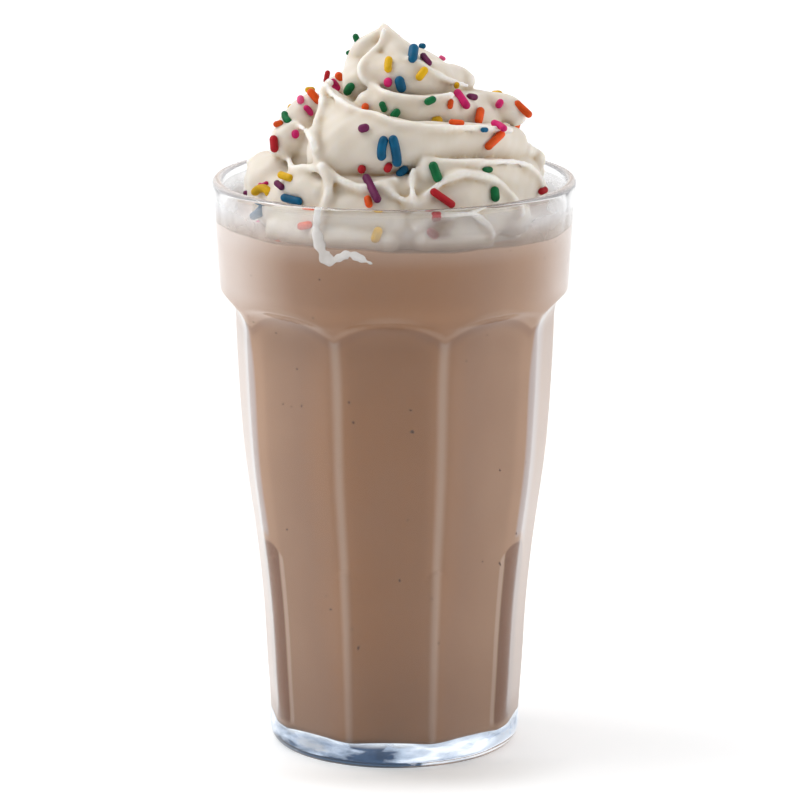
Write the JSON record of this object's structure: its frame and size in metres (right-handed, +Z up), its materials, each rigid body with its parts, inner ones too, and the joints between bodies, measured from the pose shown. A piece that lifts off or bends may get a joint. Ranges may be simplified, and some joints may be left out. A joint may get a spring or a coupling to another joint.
{
  "type": "milkshake",
  "caption": "Chocolate milkshake in a tall panelled glass, filled to near the brim and topped with a peaked swirl of whipped cream.",
  "frame": {"origin": "centre of the glass's underside, on the surface it stands on", "axes": "+Z up along the glass's axis, front of the drink towards -Y, +X to the right seen from the front"},
  "size_m": [0.092, 0.092, 0.186],
  "materials": {
    "glass": "clear polished glass",
    "milkshake": "smooth opaque milk chocolate drink",
    "cream": "soft satin whipped cream"
  },
  "bodies": {
    "root": {"glass": "glass", "milkshake": "milkshake", "whipped_cream": "cream"}
  },
  "joints": []
}
